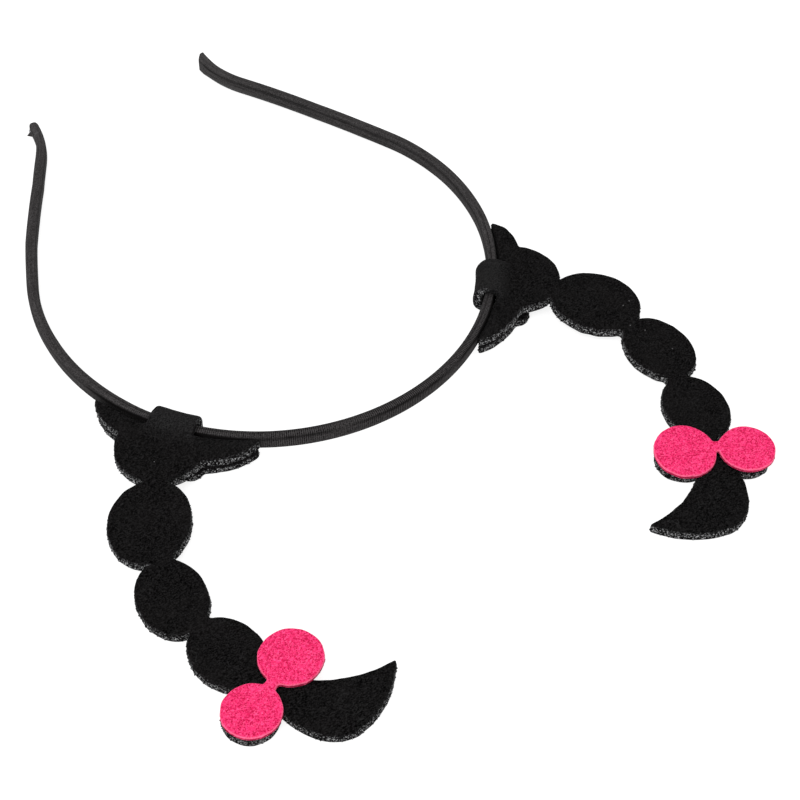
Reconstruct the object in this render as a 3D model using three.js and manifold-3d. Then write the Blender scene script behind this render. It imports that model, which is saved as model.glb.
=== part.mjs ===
// Wig headband: a ribbon-covered hair band that carries two felt braids, each with a felt bow.
// Millimetres, +Z up. The band lies on its edge, its crown towards -Y and its tips towards +Y.
import * as THREE from "three";
import { mergeVertices } from "three/addons/utils/BufferGeometryUtils.js";
import Module from "manifold-3d";

const wasm = await Module();
wasm.setup();

// Band: an open arch of arcs, given from the middle of the crown to one tip.
const bandWidth = 4.6;
const bandThickness = 2.9;
const bandRoundness = 0.6;
const bandSides = 14;
const bandSteps = 108;
const bandArcs = [
  { name: "crown", length: 45, radius: 62 },
  { name: "shoulder", length: 40, radius: 68.5 },
  { name: "side", length: 45, radius: 69.4 },
  { name: "arm", length: 54, radius: 325 },
  { name: "tip", length: 18, radius: -34 },
];

// Felt: one sheet for the braids, pressed thinner under the band, and a thinner sheet for the bows.
const braidFelt = 3;
const pressedFelt = 2.3;
const bowFelt = 1.5;
const clearance = 0.3;
const mergeReach = 1e-4;
const outlineSteps = 40;
const curveSteps = 10;

// Root of a braid: where its middle and the loop that goes round the band sit along the band.
const rootStation = 58.4;
const loopStation = 57;
const loopWidth = 11.6;
const loopTop = 1.3;
const loopSide = 2.7;
const loopReach = 6.5;
const loopCorner = 2.2;
const loopSteps = 4;
const loopCurveSteps = 3;

// Wings on both sides of the loop, measured along the band and out from its middle line. The far wing
// points to the band's tip and the near one to its crown.
const wings = {
  far: { tipAlong: 22.4, tipOut: 2.1, bellyAlong: 19, bellyOut: 8.5, joinAlong: 5, joinOut: 8.4 },
  near: { tipAlong: 23.6, tipOut: 1.95, bellyAlong: 20.2, bellyOut: 7.2, joinAlong: 5, joinOut: 10.4 },
};
const wingSteps = 12;
const bellySteps = 6;
const underWingTrim = 0.5;

// Round end of the folded-under layer, which peeks out beside the root.
const tongue = { x: 51, y: 14, radius: 3.5 };

// Braid cut, right side, in plan: middle, half length, half width and heading of each oval, and the
// share of its side's lie that it takes.
const rootOval = { x: 55.9, y: 22.5, along: 12.6, across: 12, heading: -47 };
const braidOvals = [
  { name: "first", x: 69.5, y: 2.3, along: 12.6, across: 10.2, heading: -53, share: 1 },
  { name: "second", x: 74.8, y: -19.9, along: 11.2, across: 8.6, heading: -84, share: 1 },
  { name: "third", x: 70.7, y: -41.3, along: 10.9, across: 8.5, heading: -102, share: 0.7 },
];
const ovalNeck = 6;

// Bow place in plan: middles of its two discs.
const bowDiscs = {
  inner: { x: 58.5, y: -51.6, radius: 7.9 },
  outer: { x: 72.7, y: -59.2, radius: 7.2 },
};
const bowNeck = 2.8;
const lobeInset = 0.6;

// Crescent tail in plan: its neck runs under the bow, and its point turns to the inner side.
const tail = {
  outerNeck: { x: 70.8, y: -45.3 },
  outerStart: { x: 68.9, y: -53.3 },
  outerPull: { x: 66.8, y: -76.1 },
  bottom: { x: 54.5, y: -76.1 },
  tipPull: { x: 43.8, y: -74.5 },
  tip: { x: 37.5, y: -64.7 },
  innerPull: { x: 53, y: -64.9 },
  innerStart: { x: 61.6, y: -54.6 },
  innerNeck: { x: 64.9, y: -46.3 },
};

// The two braids lie a little differently: the right one is shifted so from the cut's own place, and
// the left one the other way.
const lie = {
  root: { x: 0.8, y: 1.2 },
  ovals: { x: 0.65, y: 1.5 },
  tail: { x: -0.4, y: 0.1 },
};
const sides = [
  { name: "right", sign: 1 },
  { name: "left", sign: -1 },
];

// The felt runs down from the doubled root to the surface along this line in plan.
const slope = { fromX: 56, fromY: 22.8, toX: 66, toY: -55, start: 20, end: 74 };

const bandHalf = bandArcs.reduce((sum, arc) => sum + arc.length, 0);

// Place and heading at a distance from the middle of the crown, on the right-hand half.
function archPoint(distance) {
  const place = { x: 0, y: 0, heading: 0 };
  let left = distance;
  for (const arc of bandArcs) {
    const run = Math.min(left, arc.length);
    const turn = run / arc.radius;
    place.x += arc.radius * (Math.sin(place.heading + turn) - Math.sin(place.heading));
    place.y -= arc.radius * (Math.cos(place.heading + turn) - Math.cos(place.heading));
    place.heading += turn;
    left -= run;
  }
  return place;
}

const tipPlace = archPoint(bandHalf);
const rootPlace = archPoint(rootStation);
const rootLift = pressedFelt + clearance;

// Height of the band's middle line: on the surface at the tips, on the felt at the roots.
function bandHeight(y) {
  return bandWidth / 2 + rootLift * (tipPlace.y - y) / (tipPlace.y - rootPlace.y);
}

// Point in plan at a distance along the right half, moved out from the middle line.
function besideBand(distance, out) {
  const place = archPoint(distance);
  const x = place.x + out * Math.sin(place.heading);
  const y = place.y - out * Math.cos(place.heading);
  return new THREE.Vector2(x, y);
}

// Middle line of the band between two distances, negative ones on the left half.
class BandLine extends THREE.Curve {
  constructor(from, to) {
    super();
    this.from = from;
    this.to = to;
  }

  getPoint(t, target = new THREE.Vector3()) {
    const distance = THREE.MathUtils.lerp(this.from, this.to, t);
    const place = archPoint(Math.abs(distance));
    return target.set(Math.sign(distance) * place.x, place.y, bandHeight(place.y));
  }
}

// Rounded band section: x across the strip's width, y through its thickness.
function bandSection() {
  const points = [];
  for (let k = 0; k < bandSides; k += 1) {
    const angle = 2 * Math.PI * k / bandSides;
    const c = Math.cos(angle);
    const s = Math.sin(angle);
    const x = Math.sign(c) * Math.abs(c) ** bandRoundness * bandWidth / 2;
    const y = Math.sign(s) * Math.abs(s) ** bandRoundness * bandThickness / 2;
    points.push(new THREE.Vector2(x, y));
  }
  return new THREE.Shape(points);
}

function toSolid(geometry) {
  const bare = geometry.clone();
  bare.deleteAttribute("normal");
  bare.deleteAttribute("uv");
  const merged = mergeVertices(bare, mergeReach);
  const mesh = new wasm.Mesh({
    numProp: 3,
    vertProperties: new Float32Array(merged.attributes.position.array),
    triVerts: new Uint32Array(merged.index.array),
  });
  return new wasm.Manifold(mesh);
}

function toGeometry(solid) {
  const mesh = solid.getMesh();
  const geometry = new THREE.BufferGeometry();
  geometry.setAttribute("position", new THREE.BufferAttribute(new Float32Array(mesh.vertProperties), 3));
  geometry.setIndex(new THREE.BufferAttribute(new Uint32Array(mesh.triVerts), 1));
  geometry.computeVertexNormals();
  return geometry;
}

// A flat cut of felt from a shape, its underside on the surface.
function cutFelt(shape, thickness) {
  return new THREE.ExtrudeGeometry(shape, {
    depth: thickness,
    bevelEnabled: false,
    curveSegments: curveSteps,
  });
}

function ovalShape(oval) {
  const shape = new THREE.Shape();
  const { x, y, along, across } = oval;
  const heading = THREE.MathUtils.degToRad(oval.heading);
  const curve = new THREE.EllipseCurve(x, y, along, across, 0, 2 * Math.PI, false, heading);
  shape.setFromPoints(curve.getPoints(outlineSteps).slice(0, -1));
  return shape;
}

// The strip that joins two ovals, from middle to middle.
function neckShape(from, to) {
  const start = new THREE.Vector2(from.x, from.y);
  const end = new THREE.Vector2(to.x, to.y);
  const way = end.clone().sub(start).normalize();
  const half = new THREE.Vector2(-way.y, way.x).multiplyScalar(ovalNeck / 2);
  const corners = [
    start.clone().sub(half),
    end.clone().sub(half),
    end.clone().add(half),
    start.clone().add(half),
  ];
  return new THREE.Shape(corners);
}

function discShape(disc, inset) {
  const radius = disc.radius - inset;
  return ovalShape({ x: disc.x, y: disc.y, along: radius, across: radius, heading: 0 });
}

// The wings' straight inner edge, which runs beside the band from the near tip to the far one.
function wingInnerEdge(trim) {
  const out = bandThickness / 2 + clearance;
  const points = [];
  for (let k = 0; k <= wingSteps; k += 1) {
    const along = THREE.MathUtils.lerp(trim - wings.near.tipAlong, wings.far.tipAlong - trim, k / wingSteps);
    points.push(besideBand(rootStation + along, out));
  }
  return points;
}

// The bellied outer edge of one wing, from its tip to the root.
function wingOuterEdge(wing, trim) {
  const tip = new THREE.Vector2(wing.tipAlong - trim, wing.tipOut);
  const belly = new THREE.Vector2(wing.bellyAlong - trim, wing.bellyOut - trim);
  const join = new THREE.Vector2(wing.joinAlong, wing.joinOut);
  return new THREE.QuadraticBezierCurve(tip, belly, join).getPoints(bellySteps);
}

// Both wings as one strip beside the band.
function wingShape(trim) {
  const points = wingInnerEdge(trim);
  for (const p of wingOuterEdge(wings.far, trim)) {
    points.push(besideBand(rootStation + p.x, p.y));
  }
  for (const p of wingOuterEdge(wings.near, trim).toReversed()) {
    points.push(besideBand(rootStation - p.x, p.y));
  }
  return new THREE.Shape(points);
}

// The space on the inner side of the wings' straight edge, where the root oval is cut away.
function insideShape() {
  const points = wingInnerEdge(0);
  points.push(besideBand(rootStation + wings.far.tipAlong, -wings.far.tipAlong));
  points.push(besideBand(rootStation - wings.near.tipAlong, -wings.near.tipAlong));
  return new THREE.Shape(points);
}

function tailShape() {
  const shape = new THREE.Shape();
  shape.moveTo(tail.innerNeck.x, tail.innerNeck.y);
  shape.lineTo(tail.innerStart.x, tail.innerStart.y);
  shape.quadraticCurveTo(tail.innerPull.x, tail.innerPull.y, tail.tip.x, tail.tip.y);
  shape.quadraticCurveTo(tail.tipPull.x, tail.tipPull.y, tail.bottom.x, tail.bottom.y);
  shape.quadraticCurveTo(tail.outerPull.x, tail.outerPull.y, tail.outerStart.x, tail.outerStart.y);
  shape.lineTo(tail.outerNeck.x, tail.outerNeck.y);
  shape.closePath();
  return shape;
}

// Loop section round the band's middle line, with the slot that the band fills. The sweep turns its
// first axis down and its second one to the inner side, so each point is given as out and up.
function loopSection() {
  const slotUp = bandWidth / 2 + clearance;
  const slotOut = bandThickness / 2 + clearance;
  const up = slotUp + loopTop;
  const side = slotOut + loopSide;
  const rootTop = 2 * braidFelt - bandHeight(rootPlace.y);
  const shape = new THREE.Shape();
  shape.moveTo(up, -loopReach);
  shape.lineTo(up, side - loopCorner);
  shape.quadraticCurveTo(up, side, up - loopCorner, side);
  shape.lineTo(loopCorner - up, side);
  shape.quadraticCurveTo(-up, side, -up, side - loopCorner);
  shape.lineTo(-up, -slotOut / 2);
  shape.bezierCurveTo(-up, -side, -rootTop, -side, -rootTop, -loopReach);
  shape.closePath();
  const slot = new THREE.Path();
  slot.moveTo(-slotUp, -slotOut);
  slot.lineTo(slotUp, -slotOut);
  slot.lineTo(slotUp, slotOut);
  slot.lineTo(-slotUp, slotOut);
  slot.closePath();
  shape.holes.push(slot);
  return shape;
}

function loopSolid() {
  const line = new BandLine(loopStation - loopWidth / 2, loopStation + loopWidth / 2);
  const geometry = new THREE.ExtrudeGeometry(loopSection(), {
    steps: loopSteps,
    curveSegments: loopCurveSteps,
    bevelEnabled: false,
    extrudePath: line,
  });
  return toSolid(geometry);
}

// A block taller than the felt, over the space where the root oval is cut away.
function insideSolid() {
  const block = cutFelt(insideShape(), 3 * braidFelt);
  block.translate(0, 0, -braidFelt);
  return toSolid(block);
}

// How far the felt has run down the slope, as a part of the way from its start to its end.
function slopePart(x, y) {
  const way = new THREE.Vector2(slope.toX - slope.fromX, slope.toY - slope.fromY).normalize();
  const run = (x - slope.fromX) * way.x + (y - slope.fromY) * way.y;
  return THREE.MathUtils.clamp((run - slope.start) / (slope.end - slope.start), 0, 1);
}

// Lifts the flat cut onto the doubled root and eases it down to the surface.
function layDown(geometry) {
  const position = geometry.attributes.position;
  for (let k = 0; k < position.count; k += 1) {
    const part = slopePart(position.getX(k), position.getY(k));
    position.setZ(k, position.getZ(k) + braidFelt * (1 - part) ** 2);
  }
  return geometry;
}

function shifted(place, shift, share) {
  return { ...place, x: place.x + share * shift.x, y: place.y + share * shift.y };
}

function joinAll(solids) {
  return solids.reduce((whole, solid) => whole.add(solid));
}

function feltSolid(shape) {
  return toSolid(cutFelt(shape, braidFelt));
}

// One braid, as on the right side: the top layer, the loop and the layer folded under the root.
function braidGeometry(sign) {
  const ovals = [shifted(rootOval, lie.root, sign)];
  for (const oval of braidOvals) {
    ovals.push(shifted(oval, lie.ovals, sign * oval.share));
  }
  const flat = ovals.map((oval) => feltSolid(ovalShape(oval)));
  for (let k = 1; k < ovals.length; k += 1) {
    flat.push(feltSolid(neckShape(ovals[k - 1], ovals[k])));
  }
  for (const disc of Object.values(bowDiscs)) {
    flat.push(feltSolid(discShape(shifted(disc, lie.tail, sign), lobeInset)));
  }
  const crescent = cutFelt(tailShape(), braidFelt);
  crescent.translate(sign * lie.tail.x, sign * lie.tail.y, 0);
  flat.push(toSolid(crescent));
  flat.push(feltSolid(wingShape(0)));
  const topLayer = joinAll(flat).subtract(insideSolid());
  const underWings = feltSolid(wingShape(underWingTrim));
  const underEnd = feltSolid(discShape(tongue, 0));
  const laid = toSolid(layDown(toGeometry(topLayer)));
  return toGeometry(joinAll([laid, underWings, underEnd, loopSolid()]));
}

// Two discs with a narrow neck between them, along +X from the middle of the larger one.
function bowShape() {
  const { inner, outer } = bowDiscs;
  const span = Math.hypot(outer.x - inner.x, outer.y - inner.y);
  const innerAngle = Math.asin(bowNeck / 2 / inner.radius);
  const outerAngle = Math.asin(bowNeck / 2 / outer.radius);
  const shape = new THREE.Shape();
  shape.absarc(0, 0, inner.radius, innerAngle, 2 * Math.PI - innerAngle, false);
  shape.absarc(span, 0, outer.radius, Math.PI + outerAngle, 3 * Math.PI - outerAngle, false);
  shape.closePath();
  return shape;
}

function bowGeometry() {
  return new THREE.ExtrudeGeometry(bowShape(), {
    depth: bowFelt,
    bevelEnabled: false,
    curveSegments: outlineSteps,
  });
}

const ribbonLook = new THREE.MeshStandardMaterial({ color: 0x2b2a2a, roughness: 0.55, metalness: 0 });
const blackFeltLook = new THREE.MeshStandardMaterial({ color: 0x1a1a1a, roughness: 0.95, metalness: 0 });
const pinkFeltLook = new THREE.MeshStandardMaterial({ color: 0xf0376f, roughness: 0.95, metalness: 0 });

function namedMesh(name, geometry, material) {
  const mesh = new THREE.Mesh(geometry, material.clone());
  mesh.name = name;
  return mesh;
}

const part = new THREE.Group();

const bandShell = new THREE.ExtrudeGeometry(bandSection(), {
  steps: bandSteps,
  bevelEnabled: false,
  extrudePath: new BandLine(-bandHalf, bandHalf),
});
part.add(namedMesh("band", bandShell, ribbonLook));

for (const side of sides) {
  const half = new THREE.Group();
  half.scale.x = side.sign;
  half.add(namedMesh(`braid_${side.name}`, braidGeometry(side.sign), blackFeltLook));
  const bow = namedMesh(`bow_${side.name}`, bowGeometry(), pinkFeltLook);
  const inner = shifted(bowDiscs.inner, lie.tail, side.sign);
  const outer = shifted(bowDiscs.outer, lie.tail, side.sign);
  bow.position.set(inner.x, inner.y, braidFelt + clearance);
  bow.rotation.z = Math.atan2(outer.y - inner.y, outer.x - inner.x);
  half.add(bow);
  part.add(half);
}

// The origin is on the surface, under the middle of the whole object's box.
const box = new THREE.Box3().setFromObject(part, true);
const middle = box.getCenter(new THREE.Vector3());
part.position.set(-middle.x, -middle.y, 0);

export default part;
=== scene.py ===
import math

import bpy
import numpy as np
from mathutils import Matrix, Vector
from mathutils.geometry import delaunay_2d_cdt


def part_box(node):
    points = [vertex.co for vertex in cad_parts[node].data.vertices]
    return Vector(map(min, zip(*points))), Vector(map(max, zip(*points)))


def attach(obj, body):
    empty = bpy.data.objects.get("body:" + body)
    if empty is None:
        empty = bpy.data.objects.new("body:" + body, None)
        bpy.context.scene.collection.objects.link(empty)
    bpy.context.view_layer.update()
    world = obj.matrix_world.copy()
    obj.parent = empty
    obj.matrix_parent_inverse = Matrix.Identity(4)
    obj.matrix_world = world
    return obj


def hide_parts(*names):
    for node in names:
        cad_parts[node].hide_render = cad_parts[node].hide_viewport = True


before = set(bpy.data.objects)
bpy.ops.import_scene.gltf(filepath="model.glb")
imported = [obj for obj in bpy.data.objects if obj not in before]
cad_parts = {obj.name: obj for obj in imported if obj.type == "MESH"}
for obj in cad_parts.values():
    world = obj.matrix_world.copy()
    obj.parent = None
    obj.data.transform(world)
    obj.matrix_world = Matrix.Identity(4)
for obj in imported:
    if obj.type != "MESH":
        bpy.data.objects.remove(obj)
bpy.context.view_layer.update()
bandLow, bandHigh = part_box("band")
mm = 0.001  # the tables are in millimetres, the meshes in metres

# Plan places are given from the middle of the band's crown, x to the right braid's side, y to the tips.
# Stations run along the band from there. Where the sides differ, 1 is the right one and -1 the left one.


def rise(value, width):
    # smooth step from 0 to 1 about zero, over about four widths
    return 0.5 + 0.5 * np.tanh(value / (2 * width))


def ripple(points, size, seed, count=28):
    # smooth noise: the sum of sine waves of about this length in random directions, scaled to about one
    draw = np.random.default_rng(seed)
    ways = draw.normal(size=(count, points.shape[1]))
    lengths = np.linalg.norm(ways, axis=1)[:, None]
    ways *= (2 * np.pi / size) * draw.uniform(0.6, 1.5, count)[:, None] / lengths
    return np.sin(points @ ways.T + draw.uniform(0, 2 * np.pi, count)).sum(1) / math.sqrt(count / 2)


def bend(p0, p1, p2, count):
    # quadratic curve from p0 to p2, pulled towards p1
    t = np.linspace(0, 1, count)[:, None]
    return (1 - t) ** 2 * np.array(p0) + 2 * t * (1 - t) * np.array(p1) + t ** 2 * np.array(p2)


def smoothPath(knots, count):
    # Catmull-Rom curve through the rows of knots, all columns at once
    knots = np.array(knots, float)
    padded = np.concatenate([[2 * knots[0] - knots[1]], knots, [2 * knots[-1] - knots[-2]]])
    s = np.linspace(0, len(knots) - 1, count)
    k = np.minimum(s.astype(int), len(knots) - 2)
    t = (s - k)[:, None]
    a, b, c, d = padded[k], padded[k + 1], padded[k + 2], padded[k + 3]
    start = 2 * b + (c - a) * t + (2 * a - 5 * b + 4 * c - d) * t ** 2
    return 0.5 * (start + (3 * b - a - 3 * c + d) * t ** 3)


def ovalOutline(x, y, along, across, heading, count=96):
    # ellipse with its long axis turned to the heading
    angle = np.linspace(0, 2 * np.pi, count, endpoint=False)
    turn = math.radians(heading)
    u, v = along * np.cos(angle), across * np.sin(angle)
    return np.stack([x + u * math.cos(turn) - v * math.sin(turn),
                     y + u * math.sin(turn) + v * math.cos(turn)], -1)


def discOutline(x, y, radius):
    # circle: an oval as long as it is wide
    return ovalOutline(x, y, radius, radius, 0)


def stripOutline(start, end, width):
    # rectangle from start to end
    start, end = np.array(start, float), np.array(end, float)
    way = (end - start) / np.linalg.norm(end - start)
    half = np.array([-way[1], way[0]]) * width / 2
    return np.stack([start - half, end - half, end + half, start + half])


def flatArea(line):
    # area inside an outline, positive when it runs anticlockwise
    after = np.roll(line, -1, 0)
    return 0.5 * float(np.sum(line[:, 0] * after[:, 1] - line[:, 1] * after[:, 0]))


def inwardOf(line):
    # unit normals to the left of an outline that runs anticlockwise
    along = np.roll(line, -1, 0) - np.roll(line, 1, 0)
    return np.stack([-along[:, 1], along[:, 0]], -1) / np.linalg.norm(along, axis=1)[:, None]


def nearest(points, line):
    # distance from each point to the closest point of a line
    gaps = points[:, None] - line[None]
    return np.sqrt((gaps ** 2).sum(2).min(1))


def within(points, line):
    # crossing test: a point is inside if a ray from it meets the outline an odd number of times
    a, b = line[None], np.roll(line, -1, 0)[None]
    x, y = points[:, None, 0], points[:, None, 1]
    spans = (a[..., 1] > y) != (b[..., 1] > y)
    tall = np.where(spans, b[..., 1] - a[..., 1], 1)
    return (spans & (x < a[..., 0] + (y - a[..., 1]) * (b[..., 0] - a[..., 0]) / tall)).sum(1) % 2 == 1


bandShape = {
    "arcs": [(45, 62), (40, 68.5), (45, 69.4), (54, 325), (20, -34)],  # length, radius, from the crown on
    "halfLength": 202,
    "width": 4.6,          # upright
    "thickness": 2.9,
    "roundness": 0.6,      # power of the section's sine and cosine
    "step": 0.5,           # between sections
    "sides": 36,
    "tipSteps": 12,
    "tipEnd": {"left": 202.4, "right": 204.1},
    "tipRound": {"left": 2.6, "right": 0.25},  # length over which a tip closes
    "tipSquare": 0.34,     # roundness at the cut right tip
    "squareLength": 4,
    "tipSlant": 1.4,       # the right cut leans forward from the inner side to the middle
    "slantOut": 0.2,       # and no further than this past the middle
    "slantLength": 2,
    "tipThin": 0.1,        # share by which the left tip narrows, past its station
    "thinStation": 189,
    "swell": 0.08,         # the arms are a little fuller than the crown, from about this station on
    "swellStation": 70,
    "swellLift": 0.65,     # share of the added width that lifts them
    "lean": {              # how far each arm lies in from its arc, by station
        1: [(68, 0), (84, -0.25), (105, -0.3), (125, -0.1), (140, 0.45), (157, 0.75), (175, 0.5), (190, 0.35),
            (203, 0.25)],
        -1: [(68, 0), (84, 0.25), (105, 0.4), (123, 0.2), (135, 0.1), (147, -0.12), (158, 0.2), (172, 0.45),
             (180, 0.08), (186, -0.22), (192, -0.2), (198, -0.25), (203, -0.1)],
    },
    "lap": 0.13,           # height of the ribbon's overlapping edge
    "lapAngle": 4.2,       # where the overlap runs on the inner side, radians round from the top
    "lapWaves": [(0.12, 23), (0.05, 7.1)],  # how it wanders: radians, and millimetres to the radian
    "lapFade": 5.6,        # where the overlapping ribbon meets the section again
    "foldLength": 7.5,     # ribbon folded back over the left tip
    "foldSlant": 1.2,
    "foldHeight": 0.16,
    "flap": {"station": -199.1, "out": 1.0, "way": (1, -0.5, -0.5), "long": 1.9, "wide": 1.7, "thick": 0.9,
             "mark": 0.0},
    "glue": {"station": -200.6, "out": 1.7, "way": (1, 0, 0), "long": 0.35, "wide": 0.6, "thick": 0.6,
             "mark": 2.0},  # the mark above 1 turns ribbon into glue
    "scrapSides": 14,
    "scrapTurn": 0.2,      # place round the section whose look these two take
    "pattern": 10,         # units of the ribbon's pattern to a metre of band
}

root = {
    "station": 58.4,
    "far": {               # along the band and out from it, and the tip's lift, by side
        1: {"tip": (22.6, 2.2), "belly": (20.0, 9.1), "join": (5, 8.4), "lift": 0.1},
        -1: {"tip": (21.7, 2.2), "belly": (17.7, 7.8), "join": (5, 8.3), "lift": 0.45},
    },
    "near": {
        1: {"tip": (23.6, 2.2), "belly": (19.9, 6.7), "join": (5, 10.3), "lift": 0.7},
        -1: {"tip": (23.9, 2.2), "belly": (20.6, 7.35), "join": (5, 10.4), "lift": 1.2},
    },
    "tipWidth": 0.2,       # the least that is left of a wing at its tip
    "reach": 27,           # stations to each side of the tab that the wings can take up
    "liftAlong": (4, 22),  # where the lift starts and is full, along the wings
    "liftOut": (2.9, 10.9),  # and where it starts to fade and is gone, out from the band
    "underLift": 0.7,      # share of the lift that the folded-under layer takes
    "clear": 0.3,          # room under the band
    "beside": 0.18,        # room between the band and the wings' inner edge
    "pressed": 2.3,        # felt under the band, thinner than it was cut
    "farGap": {1: 0.45, -1: 0.75},   # room that opens beside the far wing, soon after the fold
    "gapStart": 6.5,
    "tipGap": {1: 0.3, -1: 0.3},     # and more on the way to its tip
    "nearGap": {1: 0.1, -1: 0.0},    # and to the near wing's tip
    "tipGapRun": (8, 15),  # where these start along the wings, and over what length they open
    "edgeShade": (0.2, 0.5),          # width of the inner edge kept dark as painted shade beside the band, and of its fade
    "underTrim": 0.4,
    "underShade": {1: 0, -1: 0.12},   # share of the under layer's edge left dark as painted shade in the seam
    "underThickness": {1: 2.9, -1: 2.75},
    "tongue": {1: (51, 14.1, 3.3), -1: (51, 13.8, 3.8)},  # middle and radius of the folded-under round end
}


def archPlace(station):
    # middle line of the band: each arc adds its radius times the change of sine and cosine of the heading
    left = np.abs(station).astype(float)
    x, y, heading = np.zeros_like(left), np.zeros_like(left), np.zeros_like(left)
    for length, radius in bandShape["arcs"]:
        run = np.clip(left, 0, length)
        turned = heading + run / radius
        x = x + radius * (np.sin(turned) - np.sin(heading))
        y = y - radius * (np.cos(turned) - np.cos(heading))
        heading = turned
        left = left - run
    return np.sign(station) * x, y, np.sign(station) * heading


def besideBand(station, out):
    # plan point beside the right half of the band: the middle line moved along its outward normal
    x, y, heading = archPlace(np.asarray(station, float))
    return np.stack([x + out * np.sin(heading), y - out * np.cos(heading)], -1)


halfLength = bandShape["halfLength"]
tipY = float(archPlace(np.array([halfLength]))[1][0])
rootY = float(archPlace(np.array([root["station"]]))[1][0])
rootLift = root["pressed"] + root["clear"]
planShift = np.array([(bandLow.x + bandHigh.x) / 2 / mm, bandLow.y / mm + bandShape["thickness"] / 2])


def bandHeight(y):
    # height of the middle line: on the surface at the tips, on the felt at the roots
    return bandShape["width"] / 2 + rootLift * (tipY - y) / (tipY - rootY)


def ribbonPlace(station):
    # place along the ribbon's pattern
    return station * mm * bandShape["pattern"]


def gridQuads(index):
    # four corners of each face of a grid whose columns close on themselves
    after = np.roll(index, -1, 1)
    return np.stack([index[:-1], index[1:], after[1:], after[:-1]], -1).reshape(-1, 4)


def joinShells(shells):
    # one set of points and faces from several closed shells
    start, faces = 0, []
    for shell in shells:
        faces += [block + start for block in shell["faces"]]
        start += len(shell["points"])
    values = [key for key in ("points", "cut", "uv") if key in shells[0]]
    return {"faces": faces, **{key: np.concatenate([s[key] for s in shells]) for key in values}}


def makePiece(name, shell, finish, node):
    # plan places become row places, millimetres become metres; faces come in blocks of one count of corners
    points = (shell["points"] + (*planShift, 0)) * mm
    mesh = bpy.data.meshes.new(name)
    mesh.from_pydata(points.tolist(), [], [face for block in shell["faces"] for face in block.tolist()])
    mark = mesh.attributes.new("cutEdge", "FLOAT", "POINT")
    mark.data.foreach_set("value", shell["cut"].astype(np.float32))
    if "uv" in shell:
        layer = mesh.uv_layers.new(name="ribbon")
        corner = np.empty(len(mesh.loops), np.int32)
        mesh.loops.foreach_get("vertex_index", corner)
        layer.data.foreach_set("uv", shell["uv"][corner].astype(np.float32).ravel())
    mesh.polygons.foreach_set("use_smooth", np.ones(len(mesh.polygons), bool))
    mesh.materials.append(finish)
    mesh.validate()
    mesh.update()
    piece = bpy.data.objects.new(name, mesh)
    bpy.context.scene.collection.objects.link(piece)
    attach(piece, "root")
    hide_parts(node)
    print(name, len(mesh.vertices), "points", len(mesh.polygons), "faces")
    return piece


def ribbonScrap(place, size):
    # small closed body at the left tip: an oval that changes its size along its way out from the band; the
    # columns of size are the way gone, the half width along the band and the half height
    x, y, heading = (float(v[0]) for v in archPlace(np.array([place["station"]])))
    outward = np.array([math.sin(heading), -math.cos(heading), 0])
    along = np.array([math.cos(heading), math.sin(heading), 0])
    upward = np.array([0, 0, 1])
    start = np.array([x, y, float(bandHeight(y))]) + place["out"] * outward
    way = place["way"][0] * outward + place["way"][1] * along + place["way"][2] * upward
    turn = np.linspace(0, 2 * np.pi, bandShape["scrapSides"], endpoint=False)
    ring = size[:, 1:2, None] * np.cos(turn)[None, :, None] * along
    ring = ring + size[:, 2:3, None] * np.sin(turn)[None, :, None] * upward
    points = start + size[:, 0:1, None] * way + ring
    count = points.shape[0] * points.shape[1]
    index = np.arange(count).reshape(points.shape[:2])
    return {
        "points": points.reshape(-1, 3),
        "faces": [gridQuads(index)[:, ::-1], index[:1, ::-1], index[-1:]],
        "cut": np.full(count, place["mark"]),
        "uv": np.tile((ribbonPlace(place["station"]), bandShape["scrapTurn"]), (count, 1)),
    }


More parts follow.
